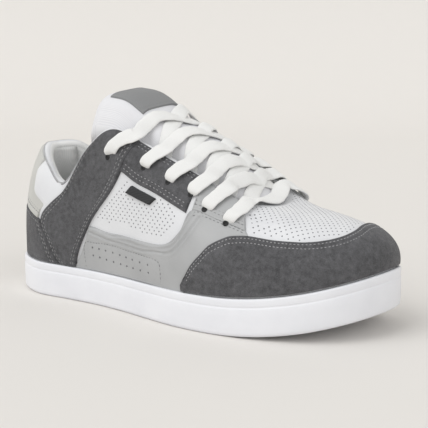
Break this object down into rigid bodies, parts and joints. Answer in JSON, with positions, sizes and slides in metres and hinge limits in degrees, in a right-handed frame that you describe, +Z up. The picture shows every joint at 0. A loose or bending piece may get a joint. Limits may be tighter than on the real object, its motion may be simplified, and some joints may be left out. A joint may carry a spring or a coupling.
{
  "type": "skateboarding shoe",
  "caption": "Low padded skateboarding shoe for the right foot with a cupsole, overlaid upper, thick tongue and flat crossed laces.",
  "frame": {"origin": "middle of the shoe's bounding box, on the floor plane under the sole", "axes": "+X from heel to toe, +Y to the inner side of the foot, +Z up"},
  "size_m": [0.3, 0.1162, 0.1512],
  "materials": {
    "white_rubber": "matt white cupsole rubber",
    "sock_fabric": "woven sock lining",
    "white_leather": "smooth and perforated white leather",
    "white_mesh": "padded white textile",
    "grey_label": "woven label",
    "dark_suede": "napped dark grey suede",
    "grey_leather": "smooth light grey leather",
    "dark_label": "woven tag",
    "white_lace": "flat woven lace"
  },
  "bodies": {
    "root": {"cupsole": "white_rubber", "insole": "sock_fabric", "upper": "white_leather", "tongue": "white_mesh", "tongue_label": "grey_label", "toe_overlay": "dark_suede", "heel_counter": "dark_suede", "heel_panel": "grey_leather", "side_tag": "dark_label", "saddle_strap_outer": "dark_suede", "mid_eyestay_outer": "dark_suede", "lower_eyestay_outer": "grey_leather", "quarter_outer": "grey_leather", "saddle_strap_inner": "dark_suede", "mid_eyestay_inner": "dark_suede", "lower_eyestay_inner": "grey_leather", "quarter_inner": "grey_leather", "lace_crossing_1": "white_lace", "lace_crossing_2": "white_lace", "lace_crossing_3": "white_lace", "lace_crossing_4": "white_lace", "lace_crossing_5": "white_lace", "lace_bar": "white_lace"}
  },
  "joints": []
}
